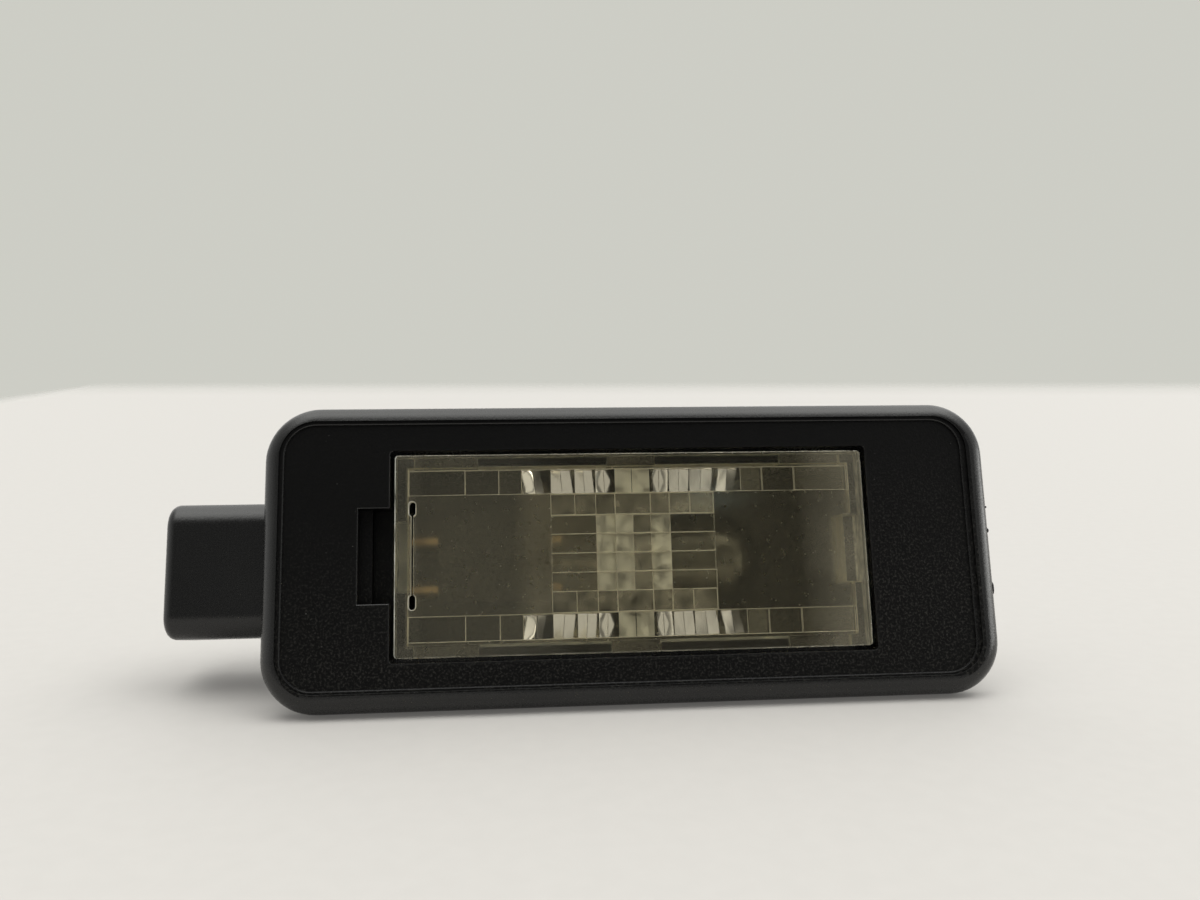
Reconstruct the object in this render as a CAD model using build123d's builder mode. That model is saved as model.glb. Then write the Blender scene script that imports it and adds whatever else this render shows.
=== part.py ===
import os

from build123d import *

# A number plate lamp that snaps into a car's panel, in millimetres.
# The seat face that lies on the panel is at y = 0, the lens faces -y, +z is up and the connector is at -x.
# A level is a distance in front of the seat face.

# Bezel
BEZEL_LENGTH = 70.6
BEZEL_HEIGHT = 28.7
BEZEL_DEPTH = 3.0
BEZEL_CORNER = 5.2
BEZEL_EDGE = 1.7
SEAT_EDGE = 0.3
RIM_INSETS = (1.5, 2.05, 1.45, 1.88)  # left, right, top and bottom, to the rim's first step
RIM_CORNER = 3.4
RIM_STEP = 0.2
RIM_DRAFT = 10
PANEL_INSETS = (1.96, 2.6, 1.84, 2.18)  # the same, to the sunk front panel
PANEL_CORNER = 2.95

# Lens
LENS_LENGTH = 45.6
LENS_HEIGHT = 19.1
LENS_X = -0.3
LENS_Z = 0.05
LENS_CORNER = 0.4
LENS_EDGE = 0.15
LENS_PLATE = 1.2
LENS_SUNK = 0.1
LENS_GAP = 0.4
SKIRT_INSET = 0.15
SKIRT_WALL = 1.0
SKIRT_DEPTH = 1.8
SKIRT_NOTCH_DEPTH = 0.9
SKIRT_NOTCHES = ((-0.79, 0.27), (0.0, 0.21), (0.79, 0.27))  # centre and length, as half length shares
LEDGE_WIDTH = 0.9

# Prisms on the inner face of the lens, as shares of its half length and half height
FLUTE_EDGES = (0.076, 0.158, 0.247, 0.349, 0.472)
OUTER_EDGES = (0.472, 0.568, 0.71, 0.945)
ROW_EDGES = (0.384, 0.601, 0.848)
FLUTE_RISE = 1.0
END_FLUTE_RISE = 0.83
FLUTE_SLANT = 0.03
CENTRE_HEIGHT = 0.6
OUTER_HEIGHT = 0.55
BLOCK_HEIGHT = 0.4
BLOCK_FOOT = 0.12
STRIP_COUNT = 4
STRIP_GROOVE = 0.08
PRISM_ROOT = 0.1

# Catches that hold the lens
CATCH_HEIGHT = 6.6
CATCH_DEPTH = 2.5
CATCH_BARB = 0.5
CATCH_BARB_LENGTH = 1.3
CATCH_CLEARANCE = 0.15
FIXED_CATCH_WALL = 1.8
TONGUE_WIDTH = 1.66
TONGUE_SLIT = 0.2
TONGUE_HEIGHT = 8.8
KEYHOLE_WIDTH = 0.65
KEYHOLE_HEIGHT = 1.4

# Prying notch beside the lens
NOTCH_LENGTH = 3.35
NOTCH_HEIGHT = 8.9
NOTCH_SHELF = 1.2
NOTCH_SHELF_DEPTH = 1.4
NOTCH_FLOOR = 2.7

# Chamber behind the bezel
CHAMBER_END_WALL = 1.6
CHAMBER_SIDE_WALL = 0.65
CHAMBER_BACK_WALL = 1.6
CHAMBER_CORNER = 2.0
CHAMBER_EDGE = 1.0

# Capless bulb, lying along x
BULB_X = 0.0
BULB_FRONT_CLEARANCE = 1.55
BULB_BACK_CLEARANCE = 0.55
BULB_Z = -0.5
BULB_DIAMETER = 10.3
BULB_LENGTH = 26.8
BULB_BASE_TO_FILAMENT = 12.9
BULB_WALL = 0.5
WEDGE_WIDTH = 9.5
WEDGE_THICKNESS = 2.1
WEDGE_LENGTH = 7.0
SHOULDER_LENGTH = 2.6
SHOULDER_DIAMETER = 6.4
LEAD_DIAMETER = 0.4
LEAD_SPACING = 4.4
LEAD_BEND = 0.45
LEAD_FOLD = 3.8
FILAMENT_LENGTH = 3.2
FILAMENT_TURNS = 10
FILAMENT_COIL = 0.5
FILAMENT_WIRE = 0.1
FILAMENT_END = 0.3

# Bulb socket and its contacts
SOCKET_GAP = 3.0
SOCKET_GRIP = 4.7
SOCKET_WALL = 1.1
SOCKET_CLEARANCE = 0.1
CONTACT_THICKNESS = 0.6
CONTACT_PITCH = 4.8
CONTACT_FIT = 0.02
BLADE_WIDTH = 2.3
SPRING_WIDTH = 6.0
SPRING_BEND = 1.2
SPRING_APEX = 1.7
SPRING_FLARE = 0.7
SPRING_TIP = 5.7

# Connector shroud
CONNECTOR_LENGTH = 20.7
CONNECTOR_HEIGHT = 13.3
CONNECTOR_FRONT = 3.2
CONNECTOR_BACK_STEP = 0.5
CONNECTOR_CORNER = 2.4
CAVITY_CORNER = 0.5
CONNECTOR_MOUTH_EDGE = 1.0
CONNECTOR_WALL = 1.3
CONNECTOR_CAVITY = 14.5
BLADE_RECESS = 4.6

# Snap arm that holds the lamp in the panel
PANEL_THICKNESS = 2.0
PANEL_CLEARANCE = 0.3
ARM_WIDTH = 8.0
ARM_THICKNESS = 1.2
ARM_SLOT = 1.8
ARM_BARB = 1.4
ARM_BARB_LENGTH = 3.2

# Worked out from the sizes above
panel_level = BEZEL_DEPTH - 2 * RIM_STEP
lens_front = panel_level - LENS_SUNK
plate_back = lens_front - LENS_PLATE
ledge_level = plate_back - SKIRT_DEPTH
catch_tip = ledge_level - CATCH_DEPTH
barb_level = catch_tip + CATCH_BARB_LENGTH
half_length = LENS_LENGTH / 2
half_height = LENS_HEIGHT / 2
prism_y = -plate_back
opening_length = LENS_LENGTH + 2 * LENS_GAP
opening_height = LENS_HEIGHT + 2 * LENS_GAP
inside_length = LENS_LENGTH - 2 * LEDGE_WIDTH
inside_height = LENS_HEIGHT - 2 * LEDGE_WIDTH
chamber_length = opening_length + 2 * CHAMBER_END_WALL
chamber_height = opening_height + 2 * CHAMBER_SIDE_WALL
chamber_left = LENS_X - chamber_length / 2
chamber_right = LENS_X + chamber_length / 2
inside_left = LENS_X - inside_length / 2
bulb_y = -ledge_level + BULB_FRONT_CLEARANCE + BULB_DIAMETER / 2
inside_back = bulb_y + BULB_DIAMETER / 2 + BULB_BACK_CLEARANCE
chamber_depth = inside_back + CHAMBER_BACK_WALL
base_end = BULB_X - BULB_BASE_TO_FILAMENT
wedge_half = WEDGE_THICKNESS / 2
socket_left = inside_left + SOCKET_GAP
socket_right = base_end + SOCKET_GRIP
slot_half = CONTACT_PITCH / 2 + CONTACT_THICKNESS / 2 + CONTACT_FIT
connector_depth = chamber_depth - CONNECTOR_BACK_STEP - CONNECTOR_FRONT
connector_y = CONNECTOR_FRONT + connector_depth / 2
connector_mouth = chamber_left - CONNECTOR_LENGTH
connector_floor = connector_mouth + CONNECTOR_CAVITY
arm_inner = chamber_right + ARM_SLOT

lens_plane = Plane(origin=(LENS_X, 0, LENS_Z), x_dir=(1, 0, 0), z_dir=(0, -1, 0))
bulb_plane = Plane(origin=(0, bulb_y, BULB_Z), x_dir=(1, 0, 0), z_dir=(0, -1, 0))
bulb_section = Plane(origin=(0, bulb_y, BULB_Z), x_dir=(0, 1, 0), z_dir=(1, 0, 0))
blade_plane = Plane(origin=(0, connector_y, BULB_Z), x_dir=(1, 0, 0), z_dir=(0, -1, 0))
connector_section = Plane(origin=(0, connector_y, BULB_Z), x_dir=(0, 1, 0), z_dir=(1, 0, 0))


def mirrored(shares, span):
    """Edges on both sides of the middle, from left to right."""
    right = [share * span for share in shares]
    return [-x for x in reversed(right)] + right


def flute_row(slant):
    """Points across a row of roof-shaped flutes, with plain wedges at both ends."""
    edges = mirrored(FLUTE_EDGES, half_length)
    points = [(edges[0], 0)]
    for left, right in zip(edges, edges[1:]):
        middle = (left + right) / 2
        half_width = (right - left) / 2
        rise = END_FLUTE_RISE if left == edges[0] or right == edges[-1] else FLUTE_RISE
        height = CENTRE_HEIGHT if left < 0 < right else rise * half_width
        points += [(middle * (1 + slant), height), (right, 0)]
    outer = [share * half_length for share in OUTER_EDGES]
    for inner_x, outer_x in zip(outer, outer[1:]):
        points = [(-outer_x, OUTER_HEIGHT), (-inner_x, BLOCK_FOOT)] + points
        points += [(inner_x, BLOCK_FOOT), (outer_x, OUTER_HEIGHT)]
    return points


def block_row():
    """Points across a row of low wedges that rise outwards from a flat middle."""
    edges = [share * half_length for share in FLUTE_EDGES[:-1]]
    points = []
    for inner_x, outer_x in zip(edges, edges[1:]):
        points = [(-outer_x, BLOCK_HEIGHT), (-inner_x, BLOCK_FOOT)] + points
        points += [(inner_x, BLOCK_FOOT), (outer_x, BLOCK_HEIGHT)]
    return points


def middle_strip():
    """Points across a strip of the middle: a low ridge, then a wedge that falls and one that rises outwards."""
    inner, outer, _, end, _ = (share * half_length for share in FLUTE_EDGES)
    right = [(inner, BLOCK_FOOT), (inner, CENTRE_HEIGHT), (outer, BLOCK_FOOT), (end, BLOCK_HEIGHT)]
    left = [(-x, height) for x, height in reversed(right)]
    return left + [(0, CENTRE_HEIGHT)] + right


def relief(z, points):
    """The section of a prism row at a height above the lens's middle."""
    rear = [(x + LENS_X, prism_y + height) for x, height in points]
    front_left = (rear[0][0], prism_y - PRISM_ROOT)
    front_right = (rear[-1][0], prism_y - PRISM_ROOT)
    with BuildSketch(Plane.XY.offset(LENS_Z + z)) as section:
        with BuildLine():
            Polyline(front_left, *rear, front_right, close=True)
        make_face()
    return section.sketch


def catch_section(side, wall):
    """A lens catch from above: a leg behind the skirt with a barb that points outwards."""
    outer = LENS_X + side * (half_length - SKIRT_INSET)
    inner = outer - side * wall
    tip = LENS_X + side * (half_length + LENS_GAP + CATCH_BARB)
    with BuildSketch(Plane.XY.offset(LENS_Z)) as section:
        with BuildLine():
            Polyline(
                (outer, -plate_back),
                (outer, -barb_level),
                (tip, -barb_level),
                (outer, -catch_tip),
                (inner, -catch_tip),
                (inner, -plate_back),
                close=True,
            )
        make_face()
    return section.sketch


# Housing: bezel, chamber, bulb socket, connector shroud and snap arm in one moulding
with BuildPart() as housing:
    with BuildSketch(Plane.XZ):
        RectangleRounded(BEZEL_LENGTH, BEZEL_HEIGHT, BEZEL_CORNER)
    extrude(amount=BEZEL_DEPTH)
    fillet(housing.faces().sort_by(Axis.Y)[0].edges(), BEZEL_EDGE)
    chamfer(housing.faces().sort_by(Axis.Y)[-1].edges(), SEAT_EDGE)

    # Rim: two small steps down to the sunk front panel
    for step, insets, corner in ((0, RIM_INSETS, RIM_CORNER), (1, PANEL_INSETS, PANEL_CORNER)):
        left, right, top, bottom = insets
        with BuildSketch(Plane.XZ.offset(BEZEL_DEPTH - step * RIM_STEP)):
            with Locations(((left - right) / 2, (bottom - top) / 2)):
                RectangleRounded(BEZEL_LENGTH - left - right, BEZEL_HEIGHT - top - bottom, corner)
        extrude(amount=-RIM_STEP, taper=RIM_DRAFT, mode=Mode.SUBTRACT)

    # Chamber, and the boss that closes the prying notch from behind
    with BuildSketch(lens_plane):
        RectangleRounded(chamber_length, chamber_height, CHAMBER_CORNER)
    extrude(amount=-chamber_depth)
    fillet(housing.faces().sort_by(Axis.Y)[-1].edges(), CHAMBER_EDGE)
    with BuildSketch(lens_plane):
        with Locations((-half_length - LENS_GAP - NOTCH_LENGTH / 2, 0)):
            Rectangle(NOTCH_LENGTH + 2 * CHAMBER_END_WALL, NOTCH_HEIGHT + 2 * CHAMBER_END_WALL)
    extrude(amount=-CONNECTOR_FRONT)

    # Connector shroud, closed towards the chamber
    with BuildSketch(connector_section.offset(connector_mouth)):
        RectangleRounded(connector_depth, CONNECTOR_HEIGHT, CONNECTOR_CORNER)
    extrude(amount=CONNECTOR_LENGTH + CHAMBER_END_WALL)
    fillet(housing.edges().group_by(Axis.X)[0], CONNECTOR_MOUTH_EDGE)
    with BuildSketch(connector_section.offset(connector_mouth)):
        RectangleRounded(
            connector_depth - 2 * CONNECTOR_WALL,
            CONNECTOR_HEIGHT - 2 * CONNECTOR_WALL,
            CAVITY_CORNER,
        )
    extrude(amount=CONNECTOR_CAVITY, mode=Mode.SUBTRACT)

    # Lens opening, ledge and inside of the chamber
    with BuildSketch(lens_plane.offset(panel_level)):
        RectangleRounded(opening_length, opening_height, LENS_CORNER)
    extrude(amount=ledge_level - panel_level, mode=Mode.SUBTRACT)
    with BuildSketch(lens_plane.offset(ledge_level)):
        Rectangle(inside_length, inside_height)
    extrude(amount=-inside_back - ledge_level, mode=Mode.SUBTRACT)

    # Prying notch with a shelf along its outer side
    with BuildSketch(lens_plane.offset(panel_level)):
        with Locations((-half_length - NOTCH_LENGTH / 2, 0)):
            Rectangle(NOTCH_LENGTH, NOTCH_HEIGHT)
    extrude(amount=-NOTCH_SHELF_DEPTH, mode=Mode.SUBTRACT)
    with BuildSketch(lens_plane.offset(panel_level)):
        with Locations((-half_length - (NOTCH_LENGTH - NOTCH_SHELF) / 2, 0)):
            Rectangle(NOTCH_LENGTH - NOTCH_SHELF, NOTCH_HEIGHT)
    extrude(amount=-NOTCH_FLOOR, mode=Mode.SUBTRACT)

    # Room for the lens catches, each with a recess behind the wall that its barb grips
    for side, wall in ((-1, SKIRT_WALL), (1, FIXED_CATCH_WALL)):
        leg = LENS_GAP + SKIRT_INSET + wall + CATCH_CLEARANCE
        with BuildSketch(lens_plane.offset(ledge_level)):
            with Locations((side * (half_length + LENS_GAP - leg / 2), 0)):
                Rectangle(leg, CATCH_HEIGHT + 2 * CATCH_CLEARANCE)
        extrude(amount=-CATCH_DEPTH - CATCH_CLEARANCE, mode=Mode.SUBTRACT)
        recess = leg + CATCH_BARB + CATCH_CLEARANCE
        with BuildSketch(lens_plane.offset(barb_level + CATCH_CLEARANCE)):
            with Locations((side * (half_length + LENS_GAP - leg + recess / 2), 0)):
                Rectangle(recess, CATCH_HEIGHT + 2 * CATCH_CLEARANCE)
        extrude(amount=-CATCH_BARB_LENGTH - 2 * CATCH_CLEARANCE, mode=Mode.SUBTRACT)

    # Bulb socket standing on the back wall, open at both ends
    with BuildSketch(Plane.YZ.offset(socket_left)):
        with Locations((bulb_y - WEDGE_WIDTH / 2 - SOCKET_CLEARANCE - SOCKET_WALL, BULB_Z)):
            Rectangle(
                inside_back - bulb_y + WEDGE_WIDTH / 2 + SOCKET_CLEARANCE + SOCKET_WALL,
                2 * (slot_half + SOCKET_WALL),
                align=(Align.MIN, Align.CENTER),
            )
    extrude(amount=socket_right - socket_left)
    with BuildSketch(bulb_section.offset(socket_left)):
        Rectangle(WEDGE_WIDTH + 2 * SOCKET_CLEARANCE, 2 * slot_half)
    extrude(amount=socket_right - socket_left, mode=Mode.SUBTRACT)

    # Slots for the two contacts through the wall between connector and chamber
    with BuildSketch(connector_section.offset(connector_floor)):
        with GridLocations(0, CONTACT_PITCH, 1, 2):
            Rectangle(BLADE_WIDTH + 2 * CONTACT_FIT, CONTACT_THICKNESS + 2 * CONTACT_FIT)
    extrude(amount=inside_left - connector_floor, mode=Mode.SUBTRACT)

    # Snap arm: a bridge off the back of the chamber, then a springy arm with a barb behind the panel
    with BuildSketch(Plane.XY.offset(LENS_Z)):
        with BuildLine():
            Polyline(
                (chamber_right - CHAMBER_END_WALL, inside_back),
                (chamber_right - CHAMBER_END_WALL, inside_back - ARM_THICKNESS),
                (arm_inner, inside_back - ARM_THICKNESS),
                (arm_inner, PANEL_THICKNESS + PANEL_CLEARANCE),
                (arm_inner + ARM_THICKNESS + ARM_BARB, PANEL_THICKNESS + PANEL_CLEARANCE),
                (arm_inner + ARM_THICKNESS, PANEL_THICKNESS + PANEL_CLEARANCE + ARM_BARB_LENGTH),
                (arm_inner + ARM_THICKNESS, inside_back),
                close=True,
            )
        make_face()
    extrude(amount=ARM_WIDTH / 2, both=True)
housing.part.label = "housing"

# Lens: a clear plate with a skirt, prisms behind it and a catch at each end
with BuildPart() as lens:
    with BuildSketch(lens_plane.offset(lens_front)):
        RectangleRounded(LENS_LENGTH, LENS_HEIGHT, LENS_CORNER)
    extrude(amount=-LENS_PLATE)
    fillet(lens.faces().sort_by(Axis.Y)[0].edges(), LENS_EDGE)
    with BuildSketch(lens_plane.offset(plate_back)):
        Rectangle(LENS_LENGTH - 2 * SKIRT_INSET, LENS_HEIGHT - 2 * SKIRT_INSET)
        skirt_inner = SKIRT_INSET + SKIRT_WALL
        Rectangle(LENS_LENGTH - 2 * skirt_inner, LENS_HEIGHT - 2 * skirt_inner, mode=Mode.SUBTRACT)
    extrude(amount=-SKIRT_DEPTH)
    with BuildSketch(lens_plane.offset(ledge_level)):
        for centre, length in SKIRT_NOTCHES:
            with Locations((centre * half_length, 0)):
                Rectangle(length * half_length, LENS_HEIGHT)
    extrude(amount=SKIRT_NOTCH_DEPTH, mode=Mode.SUBTRACT)

    # Catches: a sprung tongue at the left, a fixed one at the right
    for side, wall in ((-1, SKIRT_WALL), (1, FIXED_CATCH_WALL)):
        extrude(catch_section(side, wall), amount=CATCH_HEIGHT / 2, both=True)
    with BuildSketch(lens_plane.offset(lens_front)):
        with Locations((-half_length + TONGUE_WIDTH, 0)):
            Rectangle(TONGUE_SLIT, TONGUE_HEIGHT)
            with GridLocations(0, TONGUE_HEIGHT, 1, 2):
                SlotOverall(KEYHOLE_HEIGHT, KEYHOLE_WIDTH, rotation=90)
    extrude(amount=-LENS_PLATE, mode=Mode.SUBTRACT)

    # Rows of prisms, mirrored above and below the middle
    strip_edge, block_edge, flute_edge = (share * half_height for share in ROW_EDGES)
    for side in (-1, 1):
        flutes = [relief(side * block_edge, flute_row(0)), relief(side * flute_edge, flute_row(FLUTE_SLANT))]
        loft(flutes, ruled=True)
        blocks = [relief(side * z, block_row()) for z in (strip_edge, block_edge - STRIP_GROOVE)]
        loft(blocks, ruled=True)
    strip_height = 2 * strip_edge / STRIP_COUNT
    for strip in range(STRIP_COUNT):
        low = -strip_edge + strip * strip_height
        strips = [relief(z, middle_strip()) for z in (low, low + strip_height - STRIP_GROOVE)]
        loft(strips, ruled=True)
lens.part.label = "lens"


def lead_wire(side):
    """A lead-in wire from the filament through the pinch, folded back onto one flat of the wedge."""
    y = side * LEAD_SPACING / 2
    fold_z = side * (wedge_half + LEAD_DIAMETER / 2)
    outside = base_end - LEAD_BEND
    with BuildPart() as lead:
        with BuildLine(Plane(origin=(0, bulb_y, BULB_Z))) as route:
            FilletPolyline(
                (BULB_X, side * FILAMENT_LENGTH / 2, 0),
                (BULB_X, y, 0),
                (outside, y, 0),
                (outside, y, fold_z),
                (outside + LEAD_FOLD, y, fold_z),
                radius=LEAD_BEND,
            )
        with BuildSketch(Plane(origin=route.line @ 0, z_dir=route.line % 0)):
            Circle(LEAD_DIAMETER / 2)
        sweep()
    return lead.part


# Lead-in wires, one folded up and one folded down
lead_upper = lead_wire(1)
lead_lower = lead_wire(-1)
lead_upper.label = "bulb_lead_upper"
lead_lower.label = "bulb_lead_lower"

# Bulb glass: a hollow dome on a flat pinched wedge, sealed around the lead-in wires
with BuildPart() as bulb_glass:
    radius = BULB_DIAMETER / 2
    dome_start = base_end + BULB_LENGTH - radius
    wedge_end = base_end + WEDGE_LENGTH
    shoulder_end = wedge_end + SHOULDER_LENGTH
    for inset, mode in ((0, Mode.ADD), (BULB_WALL, Mode.SUBTRACT)):
        with BuildSketch(bulb_plane):
            with BuildLine():
                neck = wedge_end + inset
                tube = radius - inset
                shoulder = SHOULDER_DIAMETER / 2 - inset
                Polyline((neck, 0), (neck, shoulder), (shoulder_end, tube), (dome_start, tube))
                RadiusArc((dome_start, tube), (dome_start + tube, 0), tube)
                Line((dome_start + tube, 0), (neck, 0))
            make_face()
        revolve(axis=Axis((0, bulb_y, BULB_Z), (1, 0, 0)), mode=mode)
    with BuildSketch(bulb_section.offset(base_end)):
        Rectangle(WEDGE_WIDTH, WEDGE_THICKNESS)
    extrude(amount=WEDGE_LENGTH + BULB_WALL)
    with BuildSketch(bulb_section.offset(base_end)):
        with GridLocations(LEAD_SPACING, 0, 2, 1):
            Circle(LEAD_DIAMETER / 2)
    extrude(amount=WEDGE_LENGTH + BULB_WALL, mode=Mode.SUBTRACT)
bulb_glass.part.label = "bulb_glass"

# Filament: a coil between two short ends that meet the lead-in wires
with BuildPart() as bulb_filament:
    coil_length = FILAMENT_LENGTH - 2 * FILAMENT_END
    filament_plane = Plane(
        origin=(BULB_X, bulb_y - coil_length / 2, BULB_Z), x_dir=(1, 0, 0), z_dir=(0, 1, 0)
    )
    with BuildLine() as coil:
        Helix(
            pitch=coil_length / FILAMENT_TURNS,
            height=coil_length,
            radius=FILAMENT_COIL / 2,
            center=filament_plane.origin,
            direction=filament_plane.z_dir,
        )
    with BuildSketch(Plane(origin=coil.line @ 0, z_dir=coil.line % 0)):
        Circle(FILAMENT_WIRE / 2)
    sweep(is_frenet=True)
    for start in (-FILAMENT_END, coil_length):
        with BuildSketch(filament_plane.offset(start)):
            Circle(FILAMENT_COIL / 2 + FILAMENT_WIRE)
        extrude(amount=FILAMENT_END)
bulb_filament.part.label = "bulb_filament"


def contact(side):
    """A stamped strip: a blade in the connector and a bowed spring that presses on the wedge's wire."""
    z = side * CONTACT_PITCH / 2
    apex_z = side * (wedge_half + LEAD_DIAMETER + CONTACT_THICKNESS / 2)
    spring_start = inside_left
    blade_tip = connector_mouth + BLADE_RECESS
    with BuildPart() as strip:
        with BuildSketch(blade_plane):
            with Locations((blade_tip, z)):
                Rectangle(spring_start - blade_tip, CONTACT_THICKNESS, align=(Align.MIN, Align.CENTER))
        extrude(amount=BLADE_WIDTH / 2, both=True)
        with BuildSketch(bulb_plane):
            with BuildLine():
                FilletPolyline(
                    (spring_start, z),
                    (socket_left, z),
                    (base_end + SPRING_APEX, apex_z),
                    (base_end + SPRING_TIP, apex_z + side * SPRING_FLARE),
                    radius=SPRING_BEND,
                )
            trace(line_width=CONTACT_THICKNESS)
        extrude(amount=SPRING_WIDTH / 2, both=True)
    return strip.part


# Contacts, one above and one below the wedge
contact_upper = contact(1)
contact_lower = contact(-1)
contact_upper.label = "contact_upper"
contact_lower.label = "contact_lower"

os.makedirs("parts", exist_ok=True)
export_step(housing.part, "parts/housing.step")
export_step(lens.part, "parts/lens.step")
export_step(bulb_glass.part, "parts/bulb_glass.step")
export_step(bulb_filament.part, "parts/bulb_filament.step")
export_step(lead_upper, "parts/bulb_lead_upper.step")
export_step(lead_lower, "parts/bulb_lead_lower.step")
export_step(contact_upper, "parts/contact_upper.step")
export_step(contact_lower, "parts/contact_lower.step")
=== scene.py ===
import math

import bmesh
import bpy
from mathutils import Matrix, Vector


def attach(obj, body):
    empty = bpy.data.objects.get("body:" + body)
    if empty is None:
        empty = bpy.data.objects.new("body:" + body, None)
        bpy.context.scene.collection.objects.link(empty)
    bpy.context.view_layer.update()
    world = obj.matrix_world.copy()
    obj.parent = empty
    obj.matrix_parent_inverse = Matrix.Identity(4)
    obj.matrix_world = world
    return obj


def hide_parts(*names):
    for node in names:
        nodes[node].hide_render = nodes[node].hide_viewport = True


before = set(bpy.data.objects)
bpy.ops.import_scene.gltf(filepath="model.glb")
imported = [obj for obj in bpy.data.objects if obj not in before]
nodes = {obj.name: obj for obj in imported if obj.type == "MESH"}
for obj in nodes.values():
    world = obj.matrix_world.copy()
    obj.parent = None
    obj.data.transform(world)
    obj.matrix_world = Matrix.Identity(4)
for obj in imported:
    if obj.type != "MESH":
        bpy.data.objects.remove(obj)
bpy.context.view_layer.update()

# A number plate lamp leaning back on a pale table. Sizes are in metres, or in millimetres where a name
# ends in MM, and angles in names that end in DEG are in degrees.
MM = 0.001

# Camera, fitted to the bezel's and the lens's edges in the photograph
CAMERA_PLACE_MM = (-12.953, -102.471, -8.058)
CAMERA_FORWARD = (0.09339, 0.97996, 0.17596)
CAMERA_RIGHT = (0.99557, -0.08991, -0.02769)
CAMERA_LENS_MM = 31.5
CAMERA_SENSOR_MM = 36.0
CAMERA_NEAR_MM = 1.0

# The table touches the lamp at its lowest point and at one at least REAR_TOUCH_MM behind it. Points whose
# heights agree to HEIGHT_DIGITS decimal places are equally low.
REAR_TOUCH_MM = 5.0
HEIGHT_DIGITS = 5

# Table: a pale top that fades into two walls. Each wall has its outward side, and the fade's two ends
# by their distance from the corner. The glow is a painted glow: the share of the table's colour that the
# table gives off as light of its own, to the camera and in gloss and glass, which lightens its shadows.
TABLE_REACH = 4.0
TABLE_COLOUR = (0.451, 0.4375, 0.4195)
TABLE_SPECKLE = 1.02
TABLE_PAINTED_GLOW = 0.18
WALL_COLOUR = (0.610, 0.612, 0.560)
WALL_CORNER = (-0.44, 1.10)
BACK_WALL = ((0.194, 0.981), (-0.22, 0.35))
SIDE_WALL = ((-0.979, -0.202), (-0.015, 0.03))

# Light around the table, by the bearing from the front towards the right: darker stretches in front
# with a pale gap between them, and a pale room at the sides and behind
ROOM_COLOUR = (1.0, 1.0, 0.97)
HORIZON_DEG = (
    (-180, 0.52),
    (-150, 0.61),
    (-105, 0.80),
    (-83, 0.78),
    (-56, 0.55),
    (-30, 0.20),
    (-13.5, 0.13),
    (-12, 0.42),
    (1, 0.42),
    (3, 0.12),
    (19, 0.12),
    (22, 0.22),
    (50, 0.23),
    (56, 0.85),
    (100, 0.85),
    (130, 0.61),
    (180, 0.52),
)

# Heights are the upward part of a direction, from 0 to 1. A fade has two heights and the share of light at
# each, 0 and 1 where none are given. A stretch of bearings or heights has two bounds and their blur.
HORIZON_FADE = (0.25, 0.42, 1.08, 0.90)
LOW_LIGHT = 4.2
LOW_STRETCH_DEG = (56, 105, 2.0)
LOW_FADE = (0.22, 0.08)
SIDE_WINDOW_LIGHT = 0.40
SIDE_WINDOW_DEG = (22, 42, 2.0)
SIDE_WINDOW_HEIGHTS = (0.19, 0.46, 0.02)
BLUE_WINDOW_LIGHT = 1.2
BLUE_WINDOW_COLOUR = (0.70, 0.92, 1.0)
BLUE_WINDOW_DEG = (11.2, 14.0, 1.0)
BLUE_WINDOW_HEIGHTS = (0.412, 0.432, 0.008)

# The bright stretch overhead begins between two pitches in front, and at each side between two values of
# the sideways part of a direction
OVERHEAD_LIGHT = 2.85
OVERHEAD_FRONT_DEG = (46, 76)
OVERHEAD_SIDES = ((-0.72, -0.32), (0.85, 0.5))

# Colours of the finishes, in pairs where a finish varies between two
HOUSING_BLACKS = ((0.003, 0.003, 0.003), (0.007, 0.007, 0.0068))
# The face's second colour is a painted sheen on the crests of its grain.
FACE_BLACK_AND_SHEEN = ((0.0012, 0.0012, 0.0012), (0.038, 0.037, 0.033))
FACE_DUST = (0.10, 0.10, 0.095)
# The prisms' rounded edges and the slit's walls are painted a pale white, a painted highlight for the
# light that these edges bend.
FROST_HIGHLIGHT_WHITES = ((0.72, 0.69, 0.58), (0.82, 0.79, 0.68))
LENS_SHEEN = (1.0, 0.96, 0.76)
LENS_TINTS = {
    "clear": (0.93, 0.87, 0.68),
    "stippled": (0.93, 0.87, 0.68),
    "satin": (0.92, 0.92, 0.81),
    "hazy": (0.93, 0.89, 0.73),
    "front": (0.93, 0.85, 0.63),
}
BULB_GLASS = (0.95, 0.96, 0.95)
TUNGSTEN = ((0.20, 0.20, 0.21), (0.10, 0.10, 0.11))
NICKEL = ((0.55, 0.53, 0.50), (0.35, 0.33, 0.30))
BRASS = ((0.66, 0.50, 0.30), (0.45, 0.32, 0.18))

# Values of the noise between which a finish changes
NOISE_SPAN = (0.3, 0.7)
FACE_SHEEN_SPAN = (0.5, 0.75)
FACE_DUST_SPAN = (0.79, 0.83)
LENS_DUST_SPAN = (0.60, 0.72)
GLASS_SPAN = (0.4, 0.8)
STAIN_SPAN = (0.35, 0.7)
TABLE_SPAN = (0.35, 0.65)

# The face's grain has a painted sheen on its crests that grows towards its lower right, where the grain
# catches more light, by this much a millimetre, from its faintest share
FACE_SHEEN_SLOPE_PER_MM = (0.010, 0, -0.075)
FACE_FAINTEST_SHEEN = 0.03

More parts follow.
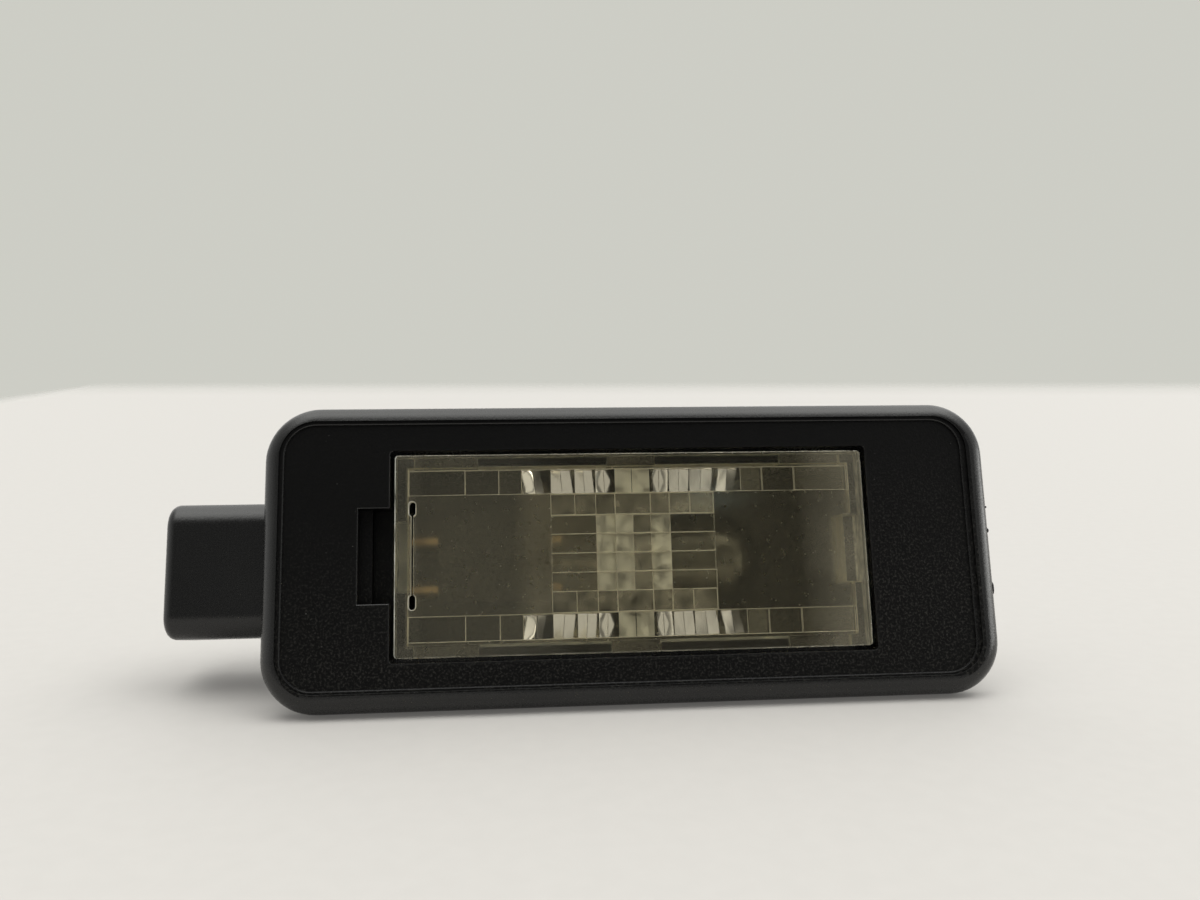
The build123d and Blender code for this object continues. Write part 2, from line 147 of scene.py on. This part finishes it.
# Haze in the lens's finishes: the axis, two places on it in millimetres, and the haze at each
LENS_HAZE = {
    "clear": (("X", -20, 20, 0.004, 0.004),),
    "stippled": (
        ("X", -12, -10, 0.0, 0.11),
        ("X", -4, 2, 0.0, -0.11),
    ),
    "satin": (("X", -3, 3, 0.52, 0.60),),
    "hazy": (("X", -20, 20, 0.15, 0.22),),
    "front": (
        ("X", -6, 8, 0.003, 0.0),
        ("X", 15.8, 19.5, 0.0, 0.078),
        ("X", -20.7, -21.2, 0.0, 0.018),
        ("Z", 8.2, 8.6, 0.0, 0.005),
        ("Z", -8.1, -8.5, 0.0, 0.016),
    ),
}

# Shapes: the angles between faces that matter, and the Y part of a face's normal, which is above FLAT_LEAN
# on a flat face, below EDGE_LEAN on the lens's rounded front edge and below WALL_LEAN on a wall
WELD_MM = 0.001
FLAT_DEG = 0.5
SMOOTH_DEG = 20
SOFT_EDGE_DEG = 6
SLIT_RIM_DEG = 60
CORNER_DEG = 50
FLAT_LEAN = 0.995
EDGE_LEAN = 0.95
WALL_LEAN = 0.4
LEVEL_SLACK_MM = 0.02

# Lens: levels along Y, boxes of two corners in X and Z, and fields as shares of its half length and height
LENS_CENTRE_MM = (-0.3, 0.05)
LENS_HALF_MM = (22.8, 9.55)
LENS_LEFT_MM = -22.9
LENS_EDGE = (0.99, 0.985)
FRONT_EDGE_MM = -2.3
PLATE_BACK_MM = -1.3
PRISM_LEVELS_MM = (-1.35, 0.2)
PRISM_FIELD = (0.945, 0.848)
FLUTE_FIELD = (0.472, 0.601)
MIDDLE_COLUMNS = (0.076, 0.158)
MIDDLE_ROWS = 0.384
FIELD_SLACK = 0.015
SKIRT_CREST_MM = 0.0
NOTCHED_SKIRT_MM = -0.45
SLIT_MM = ((-22.0, -5.4), (-20.8, 5.5))
EDGE_WIDTH_MM = 0.085
# The frosted kind is a pale painted highlight on the prisms' rounded edges and on the slit's walls.
CLEAR, FROSTED_HIGHLIGHT, STIPPLED, SATIN, HAZY, FRONT = range(6)

# Housing: levels along Y, boxes of two corners in X and Z, and burrs by their place and half size
PANEL_FACE_MM = -2.6
STEP_LEVELS_MM = (-2.9, -2.59)
CREST_LEVELS_MM = (-3.01, -2.998)
NOTCH_LEVELS_MM = (-2.5, 0.2)
OPENING_MM = ((-23.4, -10.0), (22.8, 10.1))
RIM_MM = ((-33.85, -12.5), (33.3, 12.95))
NOTCH_MM = ((-26.6, -4.5), (-23.15, 4.6))
EDGE_ROUND_MM = 0.1
BURRS_MM = (
    ((35.18, -1.95, 3.75), (0.10, 0.16, 0.12)),
    ((35.17, -1.98, 1.4), (0.11, 0.18, 0.22)),
    ((35.18, -1.95, -4.3), (0.11, 0.20, 0.60)),
)
PLAIN, GRAINED = range(2)


class Tree:
    """A node tree, with short calls for the nodes that the finishes share."""

    def __init__(self, owner):
        owner.use_nodes = True
        self.owner = owner
        self.nodes = owner.node_tree.nodes
        self.links = owner.node_tree.links

    def add(self, kind):
        return self.nodes.new(kind)

    def feed(self, socket, value):
        """Links a socket to another node's output, or sets it to a plain value."""
        if isinstance(value, bpy.types.NodeSocket):
            self.links.new(value, socket)
        else:
            socket.default_value = value

    def fill(self, node, **values):
        """Feeds a node's inputs by name, with underscores for spaces."""
        for name, value in values.items():
            self.feed(node.inputs[name.replace("_", " ")], value)

    def math(self, operation, *values, clamp=False):
        node = self.add("ShaderNodeMath")
        node.operation = operation
        node.use_clamp = clamp
        for socket, value in zip(node.inputs, values):
            self.feed(socket, value)
        return node.outputs["Value"]

    def vector_math(self, operation, *values, output="Vector"):
        node = self.add("ShaderNodeVectorMath")
        node.operation = operation
        for socket, value in zip(node.inputs, values):
            self.feed(socket, value)
        return node.outputs[output]

    def ramp(self, value, low, high, start=0.0, end=1.0, smooth=False):
        """Maps a value from the range low to high onto start to end, held at both ends."""
        node = self.add("ShaderNodeMapRange")
        node.interpolation_type = "SMOOTHSTEP" if smooth else "LINEAR"
        self.fill(node, Value=value, From_Min=low, From_Max=high, To_Min=start, To_Max=end)
        return node.outputs["Result"]

    def band(self, value, low, high, blur):
        """1 between two bounds and 0 outside them, with soft edges."""
        above = self.ramp(value, low - blur, low + blur, smooth=True)
        below = self.ramp(value, high + blur, high - blur, smooth=True)
        return self.math("MULTIPLY", above, below)

    def curve(self, value, points):
        """A value between points that are joined by straight lines."""
        node = self.add("ShaderNodeFloatCurve")
        low, high = points[0][0], points[-1][0]
        line = node.mapping.curves[0].points
        places = [((at - low) / (high - low), height) for at, height in points]
        for place in places[1:-1]:
            line.new(*place)
        for point, place in zip(line, places):
            point.location = place
            point.handle_type = "VECTOR"
        node.mapping.update()
        self.fill(node, Value=self.ramp(value, low, high))
        return node.outputs["Value"]

    def mix(self, share, first, second):
        """A colour between two, by a share from 0 to 1."""
        node = self.add("ShaderNodeMix")
        node.data_type = "RGBA"
        self.fill(node, Factor=share)
        for name, colour in (("A", first), ("B", second)):
            socket = next(s for s in node.inputs if s.name == name and s.type == "RGBA")
            self.feed(socket, colour if isinstance(colour, bpy.types.NodeSocket) else (*colour, 1))
        return next(s for s in node.outputs if s.type == "RGBA")

    def show(self, output, share, first, second):
        """Sends two shaders to the tree's output, mixed by a share from 0 to 1."""
        node = self.add("ShaderNodeMixShader")
        for socket, value in zip(node.inputs, (share, first.outputs[0], second.outputs[0])):
            self.feed(socket, value)
        self.fill(self.nodes[output], Surface=node.outputs[0])


class Finish(Tree):
    """A material with one principled shader, laid out in its object's own frame in millimetres."""

    def __init__(self, name):
        super().__init__(bpy.data.materials.new(name))
        self.shader = self.nodes["Principled BSDF"]
        self.place = self.add("ShaderNodeTexCoord").outputs["Object"]
        self.place_mm = self.vector_math("MULTIPLY", self.place, (1 / MM,) * 3)

    def noise(self, per_mm, detail=2.0, roughness=0.5):
        node = self.add("ShaderNodeTexNoise")
        self.fill(node, Vector=self.place_mm, Scale=per_mm, Detail=detail, Roughness=roughness)
        return node.outputs["Fac"]

    def spread(self, noise, start=0.0, end=1.0):
        """Maps most of a noise's values onto start to end."""
        return self.ramp(noise, *NOISE_SPAN, start, end)

    def along(self, axis):
        node = self.add("ShaderNodeSeparateXYZ")
        self.fill(node, Vector=self.place_mm)
        return node.outputs[axis]

    def set(self, **values):
        self.fill(self.shader, **values)

    def bump(self, height, depth_mm):
        """Relief in the shading."""
        node = self.add("ShaderNodeBump")
        self.fill(node, Height=height, Distance=depth_mm * MM, Strength=1.0)
        self.set(Normal=node.outputs["Normal"])


def housing_finish():
    """Black moulded plastic with a fine grain that sparkles a little."""
    finish = Finish("housing_plastic")
    grain = finish.noise(per_mm=5.0, detail=3.0, roughness=0.6)
    patches = finish.noise(per_mm=0.12, detail=4.0)
    finish.set(
        Base_Color=finish.mix(finish.spread(patches), *HOUSING_BLACKS),
        Roughness=finish.spread(grain, 0.22, 0.30),
        IOR=1.52,
        Specular_IOR_Level=0.45,
    )
    finish.bump(grain, depth_mm=0.014)
    return finish.owner


def face_finish():
    """The dull, leathery grain of the bezel's sunk face, with specks of dust, and a painted sheen on the
    grain's crests that comes in patches and grows towards the lower right.
    """
    finish = Finish("housing_grained_face")
    grain = finish.noise(per_mm=4.2, detail=4.0, roughness=0.65)
    sheen_slope = finish.vector_math("DOT_PRODUCT", finish.place_mm, FACE_SHEEN_SLOPE_PER_MM, output="Value")
    patches = finish.math("ADD", finish.noise(per_mm=0.08, detail=3.0), sheen_slope)
    sheen_share = finish.ramp(patches, 0.0, 1.0, FACE_FAINTEST_SHEEN, 1.0)
    # Painted sheen: the grain's crests turn paler in patches, and more so towards the lower right.
    crest_sheen = finish.math("MULTIPLY", finish.ramp(grain, *FACE_SHEEN_SPAN), sheen_share)
    dust = finish.ramp(finish.noise(per_mm=3.4, detail=1.0), *FACE_DUST_SPAN)
    finish.set(
        Base_Color=finish.mix(dust, finish.mix(crest_sheen, *FACE_BLACK_AND_SHEEN), FACE_DUST),
        Roughness=finish.spread(grain, 0.38, 0.5),
        IOR=1.52,
        Specular_IOR_Level=0.13,
    )
    finish.bump(grain, depth_mm=0.045)
    return finish.owner


def lens_finish(name, smooth, rough, clouds_per_mm=0.2, contrast=0.4, specks=0.0):
    """Clear plastic, a little yellow, clouded by fine dust and by haze that changes along the lens."""
    finish = Finish(f"lens_{name}")
    dust = finish.noise(per_mm=10.0)
    clouds = finish.spread(finish.noise(clouds_per_mm, detail=3.0), 1 - contrast, 1 + contrast)
    haze = finish.math("MULTIPLY", finish.ramp(dust, *LENS_DUST_SPAN), specks)
    for axis, *ramp in LENS_HAZE[name]:
        haze = finish.math("MULTIPLY_ADD", clouds, finish.ramp(finish.along(axis), *ramp), haze)
    finish.set(
        Base_Color=(*LENS_TINTS[name], 1),
        Transmission_Weight=finish.math("SUBTRACT", 1.0, haze, clamp=True),
        Roughness=finish.spread(finish.noise(per_mm=1.5, detail=3.0), smooth, rough),
        IOR=1.6,
        Specular_Tint=(*LENS_SHEEN, 1),
    )
    finish.bump(dust, depth_mm=0.002)
    return finish.owner


def frost_finish():
    """The soft edges of the prism blocks, painted a frosted white as a painted highlight for the light
    that these edges bend.
    """
    finish = Finish("lens_frosted_edges")
    highlight_patches = finish.noise(per_mm=2.0, detail=3.0)
    finish.set(
        Base_Color=finish.mix(finish.spread(highlight_patches), *FROST_HIGHLIGHT_WHITES),
        Transmission_Weight=0.05,
        Roughness=finish.spread(highlight_patches, 0.3, 0.5),
        IOR=1.58,
    )
    return finish.owner


def bulb_finish():
    """Clear thin glass."""
    finish = Finish("bulb_clear_glass")
    finish.set(
        Base_Color=(*BULB_GLASS, 1),
        Transmission_Weight=1.0,
        Roughness=finish.ramp(finish.noise(per_mm=0.8), *GLASS_SPAN, 0.0, 0.05),
        IOR=1.5,
    )
    return finish.owner


def metal_finish(name, colours, smooth, rough, per_mm):
    """Bare metal with patches of stain."""
    finish = Finish(name)
    patches = finish.noise(per_mm, detail=4.0)
    finish.set(
        Base_Color=finish.mix(finish.ramp(patches, *STAIN_SPAN), *colours),
        Roughness=finish.spread(patches, smooth, rough),
        Metallic=1.0,
    )
    return finish.owner


def dress_inside():
    """The bulb, its wires and the contacts keep their CAD meshes and get finishes of their own."""
    finishes = {
        "bulb_glass": bulb_finish(),
        "bulb_filament": metal_finish("tungsten", TUNGSTEN, smooth=0.35, rough=0.5, per_mm=3.0),
    }
    wire = metal_finish("nickel_wire", NICKEL, smooth=0.2, rough=0.4, per_mm=2.0)
    brass = metal_finish("contact_brass", BRASS, smooth=0.25, rough=0.5, per_mm=0.6)
    for side in ("upper", "lower"):
        finishes[f"bulb_lead_{side}"] = wire
        finishes[f"contact_{side}"] = brass
    for node, finish in finishes.items():
        mesh = nodes[node].data
        mesh.materials.clear()
        mesh.materials.append(finish)


def opened(node):
    """A copy of a CAD node's mesh, welded, with its flat faces whole."""
    shape = bmesh.new()
    shape.from_mesh(nodes[node].data)
    bmesh.ops.remove_doubles(shape, verts=shape.verts, dist=WELD_MM * MM)
    flat = math.radians(FLAT_DEG)
    bmesh.ops.dissolve_limit(shape, angle_limit=flat, verts=shape.verts, edges=shape.edges)
    for face in shape.faces:
        face.material_index = 0
    return shape


def bevelled(shape, edges, width_mm, finish_index):
    """Rounds a shape's edges with a finish of their own, and gives the new faces."""
    result = bmesh.ops.bevel(
        shape,
        geom=edges,
        offset=width_mm * MM,
        segments=2,
        profile=0.5,
        affect="EDGES",
        clamp_overlap=True,
        material=finish_index,
    )
    return result["faces"]


def put_in_order(shape):
    """Puts a shape's faces in an order that is the same each run."""
    shape.verts.index_update()
    ranked = sorted(shape.faces, key=lambda face: [vertex.index for vertex in face.verts])
    for rank, face in enumerate(ranked):
        face.index = rank
    shape.faces.sort()


def dressed(shape, node, name, finishes):
    """Puts a shape in the scene in the place of a CAD node."""
    put_in_order(shape)
    mesh = bpy.data.meshes.new(name)
    shape.to_mesh(mesh)
    shape.free()
    if "custom_normal" in mesh.attributes:
        mesh.attributes.remove(mesh.attributes["custom_normal"])
    mesh.polygons.foreach_set("use_smooth", [True] * len(mesh.polygons))
    mesh.set_sharp_from_angle(angle=math.radians(SMOOTH_DEG))
    for finish in finishes:
        mesh.materials.append(finish)
    piece = bpy.data.objects.new(name, mesh)
    bpy.context.scene.collection.objects.link(piece)
    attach(piece, "root")
    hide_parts(node)


def within(point, box_mm):
    """Whether a point's x and z lie in a box of two corners."""
    (left, bottom), (right, top) = box_mm
    return left < point.x / MM < right and bottom < point.z / MM < top


def between(point, levels_mm):
    """Whether a point's y lies between two levels."""
    front, rear = levels_mm
    return front < point.y / MM < rear


def edge_middle(edge):
    return (edge.verts[0].co + edge.verts[1].co) / 2


def lens_place(point):
    """Distances from the lens's middle, as shares of its half length and half height."""
    across = abs(point.x / MM - LENS_CENTRE_MM[0]) / LENS_HALF_MM[0]
    upright = abs(point.z / MM - LENS_CENTRE_MM[1]) / LENS_HALF_MM[1]
    return across, upright


def in_prism_field(across, upright):
    """Whether a place is among the prisms, inside the skirt round the lens."""
    return across < PRISM_FIELD[0] + FIELD_SLACK and upright < PRISM_FIELD[1] + FIELD_SLACK


def on_flutes(across, upright):
    """Whether a place is on the flutes in the rows above and below the middle."""
    in_rows = FLUTE_FIELD[1] + FIELD_SLACK < upright < PRISM_FIELD[1] - FIELD_SLACK
    return in_rows and across < FLUTE_FIELD[0] - FIELD_SLACK


def soft_edges(shape):
    """The lens's edges that are rounded: those among the prisms, and the rim of the slit at the left."""
    chosen = []
    for edge in shape.edges:
        if not edge.is_manifold:
            continue
        angle = edge.calc_face_angle()
        middle = edge_middle(edge)
        among_prisms = between(middle, PRISM_LEVELS_MM) and in_prism_field(*lens_place(middle))
        soft = among_prisms and angle > math.radians(SOFT_EDGE_DEG)
        slit_rim = within(middle, SLIT_MM) and angle > math.radians(SLIT_RIM_DEG)
        if soft or slit_rim:
            chosen.append(edge)
    return chosen


def soft_edge_kind(across, upright):
    """Which of the lens's finishes a rounded edge takes: clear on the flutes, and elsewhere a hazy or
    frosted finish that is a painted highlight for the light the edges bend.
    """
    if on_flutes(across, upright):
        return CLEAR
    beside_middle = across > MIDDLE_COLUMNS[1] + FIELD_SLACK and upright < MIDDLE_ROWS - FIELD_SLACK
    return HAZY if beside_middle else FROSTED_HIGHLIGHT


def prism_kind(across, upright, in_right_half):
    """Which of the lens's finishes a face among the prisms takes."""
    if upright < MIDDLE_ROWS:
        if across < MIDDLE_COLUMNS[0] and in_right_half:
            return HAZY
        return SATIN if across < MIDDLE_COLUMNS[1] else STIPPLED
    if across < MIDDLE_COLUMNS[0] and on_flutes(across, upright):
        return SATIN
    return HAZY if upright < FLUTE_FIELD[1] and across < FLUTE_FIELD[0] else CLEAR


def lens_face_kind(face):
    """Which of the lens's finishes a face takes."""
    middle = face.calc_center_median()
    across, upright = lens_place(middle)
    x, level = middle.x / MM, middle.y / MM
    lean = face.normal.y
    # Rounded edges, and the slit's walls below, get pale finishes that are a painted highlight.
    if face.material_index == FROSTED_HIGHLIGHT:
        return soft_edge_kind(across, upright)
    if abs(lean) < WALL_LEAN and within(middle, SLIT_MM):
        return FROSTED_HIGHLIGHT
    # The rounded front edge takes a hazy or satin finish, a painted highlight for the light that leaves
    # the plate at its edge.
    on_edge = across > LENS_EDGE[0] or upright > LENS_EDGE[1]
    if level < FRONT_EDGE_MM and on_edge and lean > -EDGE_LEAN:
        return SATIN if x < LENS_LEFT_MM else HAZY
    if level < PLATE_BACK_MM - LEVEL_SLACK_MM:
        return FRONT
    if level < PLATE_BACK_MM + LEVEL_SLACK_MM and lean > FLAT_LEAN:
        return STIPPLED
    if in_prism_field(across, upright):
        return prism_kind(across, upright, x > LENS_CENTRE_MM[0])
    return SATIN if level > (SKIRT_CREST_MM if lean > FLAT_LEAN else NOTCHED_SKIRT_MM) else STIPPLED


def dress_lens():
    """The lens with soft edges on its prisms and a finish of its own on each kind of face."""
    shape = opened("lens")
    bevelled(shape, soft_edges(shape), EDGE_WIDTH_MM, FROSTED_HIGHLIGHT)
    for face in shape.faces:
        face.material_index = lens_face_kind(face)
    finishes = {
        CLEAR: lens_finish("clear", smooth=0.03, rough=0.08),
        FROSTED_HIGHLIGHT: frost_finish(),
        STIPPLED: lens_finish("stippled", smooth=0.22, rough=0.28),
        SATIN: lens_finish("satin", smooth=0.3, rough=0.4, clouds_per_mm=0.8, contrast=0.75),
        HAZY: lens_finish("hazy", smooth=0.1, rough=0.2, clouds_per_mm=0.8, contrast=0.75),
        FRONT: lens_finish("front", smooth=0.03, rough=0.08, specks=0.14),
    }
    dressed(shape, "lens", "lens_moulding", finishes.values())


def outward_corners(shape, levels_mm):
    """The sharp outward corners between two levels at the housing's front."""
    chosen = []
    for edge in shape.edges:
        if not (edge.is_manifold and between(edge_middle(edge), levels_mm)):
            continue
        if edge.calc_face_angle_signed() > math.radians(CORNER_DEG):
            chosen.append(edge)
    return chosen


def has_grain(face):
    """Whether a face of the housing is on the bezel's sunk face, its opening or its notch."""
    middle = face.calc_center_median()
    if between(middle, NOTCH_LEVELS_MM):
        return within(middle, NOTCH_MM)
    flat_or_wall = face.normal.y < -FLAT_LEAN or abs(face.normal.y) < WALL_LEAN
    return flat_or_wall and middle.y / MM < PANEL_FACE_MM + LEVEL_SLACK_MM and within(middle, RIM_MM)


def dress_housing():
    """The housing with rounded corners at its front, a grained face and burrs on one edge."""
    shape = opened("housing")
    for face in shape.faces:
        face.material_index = GRAINED if has_grain(face) else PLAIN
    steps = outward_corners(shape, STEP_LEVELS_MM)
    for face in bevelled(shape, steps, EDGE_ROUND_MM, PLAIN):
        if within(face.calc_center_median(), OPENING_MM):
            face.material_index = GRAINED
    crest = outward_corners(shape, CREST_LEVELS_MM)
    bevelled(shape, crest, EDGE_ROUND_MM, PLAIN)
    for place, half_size in BURRS_MM:
        spread = Matrix.Diagonal((*(Vector(half_size) * MM), 1))
        burr = Matrix.Translation(Vector(place) * MM) @ spread
        bmesh.ops.create_icosphere(shape, subdivisions=2, radius=1.0, matrix=burr)
    finishes = {PLAIN: housing_finish(), GRAINED: face_finish()}
    dressed(shape, "housing", "housing_moulding", finishes.values())


def resting_plane():
    """The table's frame under the lamp, which leans back until its chamber touches the table."""
    points = [vertex.co for vertex in nodes["housing"].data.vertices]
    pivot = min(points, key=lambda p: (round(p.z, HEIGHT_DIGITS), -p.y))
    rear = [p for p in points if p.y > pivot.y + REAR_TOUCH_MM * MM]
    lean = min(math.atan2(p.z - pivot.z, p.y - pivot.y) for p in rear)
    return Matrix.Translation(pivot) @ Matrix.Rotation(lean, 4, "X")


def table_finish():
    """Pale paint that fades into the wall behind the table and the wall at its left, with a painted glow
    that lightens its shadows.
    """
    finish = Finish("table_paint")
    speckle = finish.ramp(finish.noise(per_mm=0.5, detail=4.0), *TABLE_SPAN)
    paler = tuple(TABLE_SPECKLE * value for value in TABLE_COLOUR)
    rays = finish.add("ShaderNodeLightPath").outputs
    mirrored = finish.math("MAXIMUM", rays["Is Glossy Ray"], rays["Is Transmission Ray"])
    seen = finish.math("MAXIMUM", rays["Is Camera Ray"], mirrored)
    finish.set(
        Base_Color=finish.mix(speckle, TABLE_COLOUR, paler),
        Roughness=0.7,
        Specular_IOR_Level=0.2,
        # Painted glow: the table gives off a share of its colour as light, for camera, gloss and glass
        # rays, so that its shadows are lighter.
        Emission_Color=(*TABLE_COLOUR, 1),
        Emission_Strength=finish.math("MULTIPLY", seen, TABLE_PAINTED_GLOW),
    )
    fades = []
    for outward, fade in (BACK_WALL, SIDE_WALL):
        offset = finish.vector_math("SUBTRACT", finish.place, (*WALL_CORNER, 0))
        distance = finish.vector_math("DOT_PRODUCT", offset, (*outward, 0), output="Value")
        fades.append(finish.ramp(distance, *fade, smooth=True))
    nothing = finish.add("ShaderNodeBsdfTransparent")
    finish.show("Material Output", finish.math("MAXIMUM", *fades), finish.shader, nothing)
    return finish.owner


def lay_table(plane):
    """A plain pale table top."""
    signs = ((-1, -1), (1, -1), (1, 1), (-1, 1))
    corners = [(x * TABLE_REACH, y * TABLE_REACH, 0) for x, y in signs]
    mesh = bpy.data.meshes.new("table")
    mesh.from_pydata(corners, [], [range(len(corners))])
    mesh.materials.append(table_finish())
    top = bpy.data.objects.new("table", mesh)
    top.matrix_world = plane
    bpy.context.scene.collection.objects.link(top)


def light_room(plane):
    """Light from all around the table, with a plain background where the camera looks at it."""
    tree = Tree(bpy.data.worlds.new("room"))
    bpy.context.scene.world = tree.owner
    direction = tree.add("ShaderNodeTexCoord").outputs["Generated"]
    axes = [tuple(axis) for axis in plane.to_3x3().col]
    across, back, up = (tree.vector_math("DOT_PRODUCT", direction, axis, output="Value") for axis in axes)
    ahead = tree.math("MULTIPLY", back, -1.0)
    bearing = tree.math("DEGREES", tree.math("ARCTAN2", across, ahead))
    pitch = tree.math("DEGREES", tree.math("ARCTAN2", up, ahead))

    around = tree.math("MULTIPLY", tree.curve(bearing, HORIZON_DEG), tree.ramp(up, *HORIZON_FADE))
    low = tree.math("MULTIPLY", tree.band(bearing, *LOW_STRETCH_DEG), tree.ramp(up, *LOW_FADE))
    side_height = tree.band(up, *SIDE_WINDOW_HEIGHTS)
    side_window = tree.math("MULTIPLY", tree.band(bearing, *SIDE_WINDOW_DEG), side_height)
    blue_height = tree.band(up, *BLUE_WINDOW_HEIGHTS)
    blue_window = tree.math("MULTIPLY", tree.band(bearing, *BLUE_WINDOW_DEG), blue_height)
    patches = ((low, LOW_LIGHT), (side_window, SIDE_WINDOW_LIGHT), (blue_window, BLUE_WINDOW_LIGHT))
    for patch, light in patches:
        around = tree.math("MULTIPLY_ADD", patch, light, around)

    overhead = tree.ramp(pitch, *OVERHEAD_FRONT_DEG, smooth=True)
    overhead = tree.math("MULTIPLY", overhead, tree.ramp(back, 0.0, 1.0, OVERHEAD_LIGHT, 0.0))
    for dark, bright in OVERHEAD_SIDES:
        overhead = tree.math("MULTIPLY", overhead, tree.ramp(across, dark, bright, smooth=True))

    lit = tree.nodes["Background"]
    colour = tree.mix(blue_window, ROOM_COLOUR, BLUE_WINDOW_COLOUR)
    tree.fill(lit, Color=colour, Strength=tree.math("ADD", around, overhead))
    plain = tree.add("ShaderNodeBackground")
    tree.fill(plain, Color=(*WALL_COLOUR, 1))
    seen = tree.add("ShaderNodeLightPath").outputs["Is Camera Ray"]
    tree.show("World Output", seen, lit, plain)


def place_camera():
    """The camera at the photograph's place."""
    forward = Vector(CAMERA_FORWARD).normalized()
    right = Vector(CAMERA_RIGHT).normalized()
    turn = Matrix((right, right.cross(forward), -forward)).transposed().to_4x4()
    data = bpy.data.cameras.new("camera")
    data.lens = CAMERA_LENS_MM
    data.sensor_width = CAMERA_SENSOR_MM
    data.clip_start = CAMERA_NEAR_MM * MM
    view = bpy.data.objects.new("camera", data)
    view.matrix_world = Matrix.Translation(Vector(CAMERA_PLACE_MM) * MM) @ turn
    bpy.context.scene.collection.objects.link(view)
    bpy.context.scene.camera = view


dress_inside()
dress_lens()
dress_housing()
plane = resting_plane()
lay_table(plane)
light_room(plane)
place_camera()

bpy.context.scene.view_settings.view_transform = "Standard"
